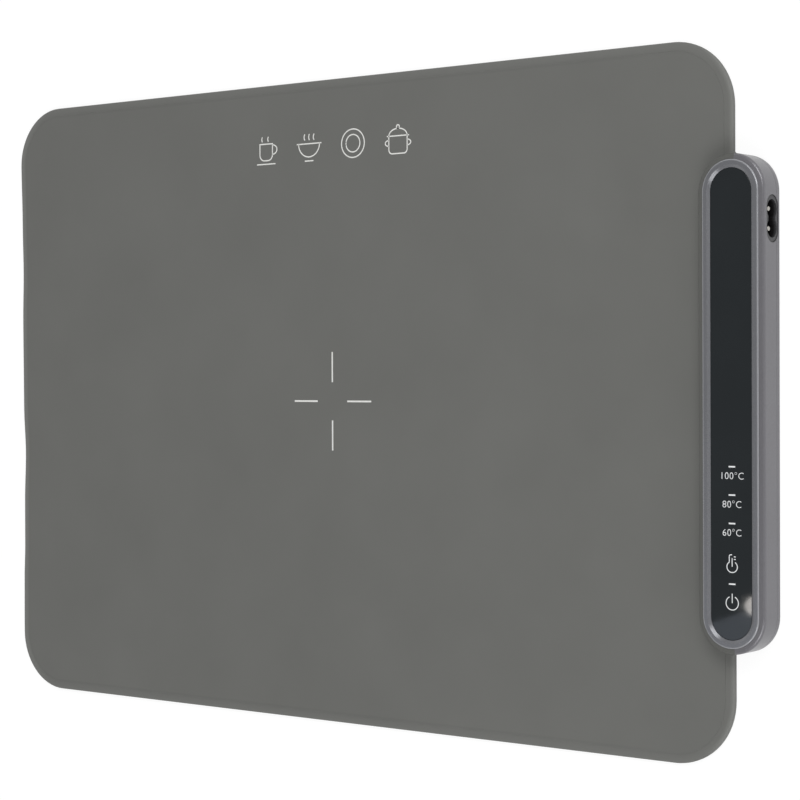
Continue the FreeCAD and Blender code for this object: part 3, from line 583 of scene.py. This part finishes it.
# the free end: the edge profile carried along the outline with its two rounded corners, and the flat
# faces as slices across, each as wide as the inner outline is at that place
def freeStrip(right):
    corner, inset = matCorner, sheet["coreInset"]
    turn = np.linspace(0.0, math.pi / 2, sheet["cornerSteps"] + 1)
    runX = np.linspace(right, freeEdge + corner, sheet["stations"])[:-1]
    ratio = np.linspace(1.0, -1.0, sheet["across"] + 1)
    flatHalf = halfWidth - corner
    # outline points with the direction that points out of the mat
    centre = np.vstack([
        np.column_stack([runX, np.full(len(runX), flatHalf)]),
        np.broadcast_to([freeEdge + corner, flatHalf], (len(turn), 2)),
        np.column_stack([np.full(len(ratio) - 2, freeEdge + corner), ratio[1:-1] * flatHalf]),
        np.broadcast_to([freeEdge + corner, -flatHalf], (len(turn), 2)),
        np.column_stack([runX[::-1], np.full(len(runX), -flatHalf)]),
    ])
    outward = np.vstack([
        np.broadcast_to([0.0, 1.0], (len(runX), 2)),
        np.column_stack([-np.sin(turn), np.cos(turn)]),
        np.broadcast_to([-1.0, 0.0], (len(ratio) - 2, 2)),
        np.column_stack([-np.cos(turn), -np.sin(turn)]),
        np.broadcast_to([0.0, -1.0], (len(runX), 2)),
    ])
    profile = edgeProfile()
    reach = (corner - profile[:, 0])[None, :, None]
    band = centre[:, None, :] + outward[:, None, :] * reach
    bandZ = np.broadcast_to(profile[:, 1], band.shape[:2])
    bandPoints = np.dstack([band, bandZ]).reshape(-1, 3)
    bandQuads = gridQuads(len(centre), len(profile))
    sliceX = np.concatenate([runX, freeEdge + corner - (corner - inset) * np.sin(turn)])
    roundHalf = flatHalf + (corner - inset) * np.cos(turn)
    sliceHalf = np.concatenate([np.full(len(runX), halfWidth - inset), roundHalf])
    faceX = np.broadcast_to(sliceX[:, None], (len(sliceX), len(ratio)))
    faceY = sliceHalf[:, None] * ratio[None, :]
    upper = np.dstack([faceX, faceY, np.full(faceX.shape, sheetTop)]).reshape(-1, 3)
    lower = np.dstack([faceX, faceY, np.zeros(faceX.shape)]).reshape(-1, 3)
    faceQuads = gridQuads(len(sliceX), len(ratio))
    points = np.vstack([bandPoints, upper, lower])
    quads = np.vstack([bandQuads, faceQuads + len(bandPoints), faceQuads + len(bandPoints) + len(upper)])
    return points, quads


# the free edge is drawn in, more towards the edge, while its colours keep to the straight outline
def drawEdge(strip, right):
    flat = np.empty(len(strip.data.vertices) * 3, np.float32)
    strip.data.vertices.foreach_get("co", flat)
    points = flat.reshape(-1, 3)
    pull = np.clip((right - points[:, 0]) / (right - freeEdge), 0.0, 1.0) ** 2
    points[:, 0] += pull * edgeDraw(points[:, 1])
    strip.data.vertices.foreach_set("co", points.ravel())


# a piece on the mat: its place is baked into its points
def bendWith(piece):
    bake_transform(piece)


# strips meet halfway between hinges, one strip round each hinge; the first starts at
# the end of the anchor strip, which stays flat under the controller
stripSpans = []
for number, hinge in enumerate(hinges, start=1):
    place = hinge["pos_m"][0]
    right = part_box("mat_anchor_strip")[0].x if number == 1 else place + stripLength / 2
    left = place - stripLength / 2
    stripSpans.append((right, left))
    if number < len(hinges):
        points, quads = straightStrip(right, left)
    else:
        points, quads = freeStrip(right)
    strip = newPiece("matSheet%02d" % number, points, quads, siliconeSheet, sheet["sharp"])
    if number == len(hinges):
        drawEdge(strip, right)
    bendWith(strip)
    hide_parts("mat_strip_%02d" % number)
print("mat: %d bending strips" % len(stripSpans))


inkPlan = {
    "lineStep": 1.2,                # between points of a run, in millimetres
    "arcStep": 0.5,
    "arcFewest": 8,
    "sharp": 50.0,
}


# a run of points from one place to another, close enough to follow the bending sheet
def straightRun(x0, y0, x1, y1):
    count = int(math.hypot(x1 - x0, y1 - y0) / inkPlan["lineStep"]) + 2
    share = np.linspace(0.0, 1.0, count)[:, None]
    return (1.0 - share) * np.array([x0, y0]) + share * np.array([x1, y1])


# part of an ellipse about x, y, between two angles in degrees
def arcRun(x, y, wide, high, first, last):
    length = abs(math.radians(last - first)) * max(wide, high)
    count = max(inkPlan["arcFewest"], int(length / inkPlan["arcStep"]) + 2)
    angle = np.radians(np.linspace(first, last, count))
    return np.column_stack([x + wide * np.cos(angle), y + high * np.sin(angle)])


# one stroke of the pen: straight stretches of four numbers and arcs of six, end to end
def strokeRun(*stretches):
    runs = [straightRun(*stretch) if len(stretch) == 4 else arcRun(*stretch) for stretch in stretches]
    return np.vstack([runs[0]] + [run[1:] for run in runs[1:]])


# a flat film carried along a line: at each point the mean of the two neighbouring normals, made
# longer at a corner, gives the left and right edge
def inkLine(run, width, base, thick):
    along = np.diff(run, axis=0)
    along = along / np.linalg.norm(along, axis=1)[:, None]
    side = np.column_stack([-along[:, 1], along[:, 0]])
    before = np.vstack([side[:1], side])
    after = np.vstack([side, side[-1:]])
    closed = np.allclose(run[0], run[-1])
    if closed:
        before[0], after[-1] = side[-1], side[0]
    miter = (before + after) / (1.0 + np.sum(before * after, axis=1))[:, None]
    left, right = run + miter * width / 2, run - miter * width / 2
    flat = np.stack([left, right, right, left], axis=1)
    height = np.broadcast_to([base, base, base + thick, base + thick], flat.shape[:2])
    points = np.dstack([flat, height]).reshape(-1, 3)
    return points, gridQuads(len(run), 4, wrap=True)


def joinLines(lines):
    counts = np.cumsum([0] + [len(points) for points, _ in lines[:-1]])
    points = np.vstack([points for points, _ in lines])
    quads = np.vstack([quads + count for (_, quads), count in zip(lines, counts)])
    return points, quads


# places and sizes in millimetres
sheetPrintPlan = {
    "middle": (-10.9, -0.1),        # of the cross, on the middle of the heated face
    "armFrom": 9.5,
    "armTo": 24.55,
    "armWidth": 0.85,
    "dishPlaces": (-53.2, -25.2, 2.95, 31.0),
    "dishHeight": 127.2,
    "dishWidth": 0.6,
    "sink": 0.02,                   # film base under the surface
    "proud": 0.03,
}
# plain line drawings about their own middle, a list of strokes each
dishes = {
    "cup": [
        [(-4.6, 3.2, -4.6, -2.2), (-1.6, -2.2, 3.0, 3.0, 180, 270), (-1.6, -5.2, 0.8, -5.2),
         (0.8, -2.2, 3.0, 3.0, 270, 360), (3.8, -2.2, 3.8, 3.2), (3.8, 3.2, -4.6, 3.2)],
        [(3.8, 0.2, 3.0, 2.4, 90, -90)],        # handle
        [(-6.6, -7.0, 5.8, -7.0)],              # saucer
        [(-2.6, 5.6, 0.7, 1.3, 250, 110)],      # steam
        [(1.4, 5.6, 0.7, 1.3, 250, 110)],
    ],
    "bowl": [
        [(-8.0, 1.6, 8.0, 1.6)],                # rim
        [(0.0, 1.6, 6.8, 6.6, 180, 360)],
        [(-2.8, -7.0, 2.8, -7.0)],              # foot
        [(-2.4, 4.9, 0.8, 1.6, 250, 110)],      # steam
        [(0.6, 4.9, 0.8, 1.6, 250, 110)],
        [(3.6, 4.9, 0.8, 1.6, 250, 110)],
    ],
    "plate": [
        [(0.0, 0.0, 7.2, 7.0, 0, 360)],
        [(0.0, 0.0, 4.4, 4.3, 0, 360)],
    ],
    "pot": [
        [(-5.6, 1.8, -5.6, -4.8), (-3.6, -4.8, 2.0, 2.0, 180, 270), (-3.6, -6.8, 3.6, -6.8),
         (3.6, -4.8, 2.0, 2.0, 270, 360), (5.6, -4.8, 5.6, 1.8)],
        [(-6.8, 1.8, 6.8, 1.8)],                # rim
        [(0.0, 1.8, 5.6, 3.6, 180, 0)],         # lid
        [(0.0, 6.2, 0.9, 0.9, 0, 360)],         # knob
        [(-5.6, -1.6, 2.2, 1.4, 90, 270)],      # handles
        [(5.6, -1.6, 2.2, 1.4, 90, -90)],
    ],
}


def crossRuns():
    x, y = sheetPrintPlan["middle"]
    near, far = sheetPrintPlan["armFrom"], sheetPrintPlan["armTo"]
    return [straightRun(x + near, y, x + far, y), straightRun(x - near, y, x - far, y),
            straightRun(x, y + near, x, y + far), straightRun(x, y - near, x, y - far)]


def printOnSheet():
    plan = sheetPrintPlan
    base, thick = sheetTop - plan["sink"] * mm, (plan["sink"] + plan["proud"]) * mm
    lines = [inkLine(run * mm, plan["armWidth"] * mm, base, thick) for run in crossRuns()]
    for place, strokes in zip(plan["dishPlaces"], dishes.values()):
        runs = [(strokeRun(*stroke) + [place, plan["dishHeight"]]) * mm for stroke in strokes]
        lines += [inkLine(run, plan["dishWidth"] * mm, base, thick) for run in runs]
    points, quads = joinLines(lines)
    middle = points[quads][:, :, 0].mean(axis=1)
    # one print piece for each strip, of the faces that lie over it
    for number, (right, left) in enumerate(stripSpans, start=1):
        mine = quads[(middle <= right) & (middle > left)]
        if len(mine) == 0:
            continue
        used, index = np.unique(mine, return_inverse=True)
        faces = index.reshape(-1, 4)
        ink = newPiece("sheetPrint%02d" % number, points[used], faces, sheetPrint, inkPlan["sharp"])
        bendWith(ink)


printOnSheet()
print("print on the mat done")

# places and sizes in millimetres
lensMarks = {
    "middle": 219.75,               # across the lens
    "dashes": (-26.85, -39.05, -51.3, -77.4),
    "dashSize": (3.2, 0.65),
    "degrees": (("100°C", -30.95), ("80°C", -43.2), ("60°C", -55.4)),
    "capHeight": 3.0,
    "capShare": 0.7,                # of the type size that a capital takes up
    "letterSpace": 1.08,
    "letterThin": 0.04,             # taken off each side of a stroke
    "letterSteps": 6,
    "line": 0.4,
    "sink": 0.01,
    "proud": 0.02,
}
# the two keys: place along the lens, then their strokes about that place
heatKey = (-70.0, [
    [(0.0, 0.0, 2.55, 2.4, 121, 416)],          # bulb
    # tube
    [(-1.38, 2.15, -1.38, 4.5), (-0.55, 4.5, 0.83, 0.75, 180, 90), (-0.55, 5.25, -0.05, 5.25)],
    [(0.0, 0.1, 0.0, 3.8)],                     # stem
    [(0.85, 4.4, 1.75, 4.4)],                   # marks beside it
    [(0.85, 3.3, 1.75, 3.3)],
])
powerKey = (-85.6, [
    [(0.0, 0.0, 3.0, 2.95, 116, 424)],          # open ring
    [(0.0, 0.0, 0.0, 4.1)],                     # bar
])
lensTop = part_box("touch_lens")[1].z


def keyRuns():
    x = lensMarks["middle"]
    return [strokeRun(*stroke) + [x, y] for y, strokes in (heatKey, powerKey) for stroke in strokes]


# a dash is a short straight line as wide as the dash is high
def dashRuns():
    half = lensMarks["dashSize"][0] / 2
    x = lensMarks["middle"]
    return [straightRun(x - half, y, x + half, y) for y in lensMarks["dashes"]]


# a temperature: the letters made a mesh, then moved to their place on the lens
def writeDegrees(words, place, thick):
    curve = bpy.data.curves.new("degrees", "FONT")
    curve.body = words
    curve.align_x = "CENTER"
    curve.align_y = "CENTER"
    curve.size = lensMarks["capHeight"] * mm / lensMarks["capShare"]
    curve.space_character = lensMarks["letterSpace"]
    curve.offset = -lensMarks["letterThin"] * mm
    curve.extrude = thick / 2
    curve.resolution_u = lensMarks["letterSteps"]
    written = bpy.data.objects.new("degrees", curve)
    scene.collection.objects.link(written)
    bpy.context.view_layer.update()
    mesh = bpy.data.meshes.new_from_object(written)
    bpy.data.objects.remove(written)
    flat = np.empty(len(mesh.vertices) * 3, np.float32)
    mesh.vertices.foreach_get("co", flat)
    moved = flat.reshape(-1, 3) + np.array(place)
    mesh.vertices.foreach_set("co", moved.astype(np.float32).ravel())
    mesh.materials.clear()
    mesh.materials.append(lensMark)
    number = bpy.data.objects.new("lensDegrees" + words.split("°")[0], mesh)
    scene.collection.objects.link(number)
    return number


def markLens():
    base, thick = lensTop - lensMarks["sink"] * mm, (lensMarks["sink"] + lensMarks["proud"]) * mm
    lines = [inkLine(run * mm, lensMarks["line"] * mm, base, thick) for run in keyRuns()]
    lines += [inkLine(run * mm, lensMarks["dashSize"][1] * mm, base, thick) for run in dashRuns()]
    points, quads = joinLines(lines)
    keys = newPiece("lensKeys", points, quads, lensMark, inkPlan["sharp"])
    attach(keys, "controller")
    for words, y in lensMarks["degrees"]:
        number = writeDegrees(words, (lensMarks["middle"] * mm, y * mm, base + thick / 2), thick)
        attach(number, "controller")


markLens()
print("marks on the lens done")

studio = {
    "floorSize": 6.0,
    "floorDrop": 0.05 * mm,
    "floorTone": 0.72,
    "shadowShare": 0.16,        # how much of the seen floor is lit, and so takes the shadow
    "litLevel": 0.75,           # what the open floor sends back of it
    "sky": 0.45,
    "flag": 0.31,               # dark screen over the mat's side, which the panel mirrors
    "flagWay": (-0.47, 0.0, 0.883),
    "flagCosines": (0.85, 0.94),
    "horizon": 1.0,             # white walls all round, up to the two heights
    "horizonHeights": (0.15, 0.5),
    "matAim": (0.1, 0.0, 0.0),
    "lensAim": (0.22, -0.09, 0.014),
    # name, shape, place, aim, width, height, watts, colour
    "lamps": (
        ("backLamp", "RECTANGLE", (0.85, 1.05, 1.45), "matAim", 1.1, 0.8, 12.2, (1.0, 1.0, 1.0)),
        ("frontLamp", "RECTANGLE", (0.85, -1.05, 1.45), "matAim", 1.1, 0.8, 9.8, (1.0, 1.0, 1.0)),
        ("lensCard", "RECTANGLE", (-0.6, -0.44, 1.5), "lensAim", 0.3, 0.2, 0.17, (0.86, 0.95, 1.12)),
        ("lensSpot", "ELLIPSE", (-0.5685, -0.2664, 1.49), "lensAim", 0.022, 0.022, 0.013, (1.0, 0.95, 0.9)),
    ),
}


# the floor is pale for the light it passes on, and white for what looks at it, less its shadow
def makeFloor():
    half, low = studio["floorSize"] / 2, -studio["floorDrop"]
    points = np.array([[-half, -half, low], [half, -half, low], [half, half, low], [-half, half, low]])
    mesh = bpy.data.meshes.new("floor")
    mesh.from_pydata(points.tolist(), [], [[0, 1, 2, 3]])
    material = bpy.data.materials.new("floorPaper")
    material.use_nodes = True
    tree = material.node_tree
    tree.nodes.clear()
    paper = addNode(tree, "ShaderNodeBsdfDiffuse")
    paper.inputs["Color"].default_value = (studio["floorTone"],) * 3 + (1.0,)
    shade = addNode(tree, "ShaderNodeBsdfDiffuse")
    shade.inputs["Color"].default_value = (studio["shadowShare"],) * 3 + (1.0,)
    glow = addNode(tree, "ShaderNodeEmission")
    glow.inputs["Strength"].default_value = 1.0 - studio["litLevel"] * studio["shadowShare"]
    seen = addNode(tree, "ShaderNodeAddShader")
    tree.links.new(shade.outputs[0], seen.inputs[0])
    tree.links.new(glow.outputs[0], seen.inputs[1])
    path = addNode(tree, "ShaderNodeLightPath")
    looks = path.outputs["Is Camera Ray"]
    for other in ("Is Glossy Ray", "Is Transmission Ray"):
        either = addNode(tree, "ShaderNodeMath", operation="MAXIMUM")
        tree.links.new(looks, either.inputs[0])
        tree.links.new(path.outputs[other], either.inputs[1])
        looks = either.outputs[0]
    mix = addNode(tree, "ShaderNodeMixShader")
    tree.links.new(looks, mix.inputs[0])
    tree.links.new(paper.outputs[0], mix.inputs[1])
    tree.links.new(seen.outputs[0], mix.inputs[2])
    output = addNode(tree, "ShaderNodeOutputMaterial")
    tree.links.new(mix.outputs[0], output.inputs["Surface"])
    mesh.materials.append(material)
    floor = bpy.data.objects.new("floor", mesh)
    scene.collection.objects.link(floor)


# an even sky that turns into the walls near the horizon, with a dark screen in one direction
def makeSky():
    world = bpy.data.worlds.new("studioSky")
    world.use_nodes = True
    tree = world.node_tree
    way = addNode(tree, "ShaderNodeTexCoord").outputs["Generated"]
    towards = addNode(tree, "ShaderNodeVectorMath", operation="DOT_PRODUCT")
    towards.inputs[1].default_value = studio["flagWay"]
    tree.links.new(way, towards.inputs[0])
    sky = spread(tree, towards.outputs["Value"], *studio["flagCosines"], studio["sky"], studio["flag"])
    height = addNode(tree, "ShaderNodeSeparateXYZ")
    tree.links.new(way, height.inputs[0])
    walls = fade(tree, height.outputs["Z"], *studio["horizonHeights"])
    level = addNode(tree, "ShaderNodeMix", data_type="FLOAT")
    level.inputs["B"].default_value = studio["horizon"]
    tree.links.new(walls, level.inputs["Factor"])
    tree.links.new(sky, level.inputs["A"])
    tree.links.new(level.outputs["Result"], tree.nodes["Background"].inputs["Strength"])
    tree.nodes["Background"].inputs["Color"].default_value = (1.0, 1.0, 1.0, 1.0)
    scene.world = world


def makeLamps():
    for name, shape, place, aim, width, height, watts, colour in studio["lamps"]:
        data = bpy.data.lights.new(name, "AREA")
        data.shape = shape
        data.size, data.size_y = width, height
        data.energy = watts
        data.color = colour
        lamp = bpy.data.objects.new(name, data)
        lamp.location = place
        look = Vector(studio[aim]) - Vector(place)
        lamp.rotation_euler = look.to_track_quat("-Z", "Y").to_euler()
        scene.collection.objects.link(lamp)


makeFloor()
makeSky()
makeLamps()
scene.view_settings.view_transform = "Standard"

cameraView = {
    "place": (0.683518, 0.016160, 0.850870),
    "turn": (-0.82625, 37.56715, -0.26739),  # degrees about X, Y and Z, taken in the order below
    "order": "ZXY",
    "lens": 99.063,
    "sensor": 36.0,
}
camera = bpy.data.objects.new("camera", bpy.data.cameras.new("camera"))
camera.data.lens = cameraView["lens"]
camera.data.sensor_width = cameraView["sensor"]
camera.location = cameraView["place"]
camera.rotation_mode = cameraView["order"]
camera.rotation_euler = [math.radians(angle) for angle in cameraView["turn"]]
scene.collection.objects.link(camera)
scene.camera = camera
print("studio and camera done")
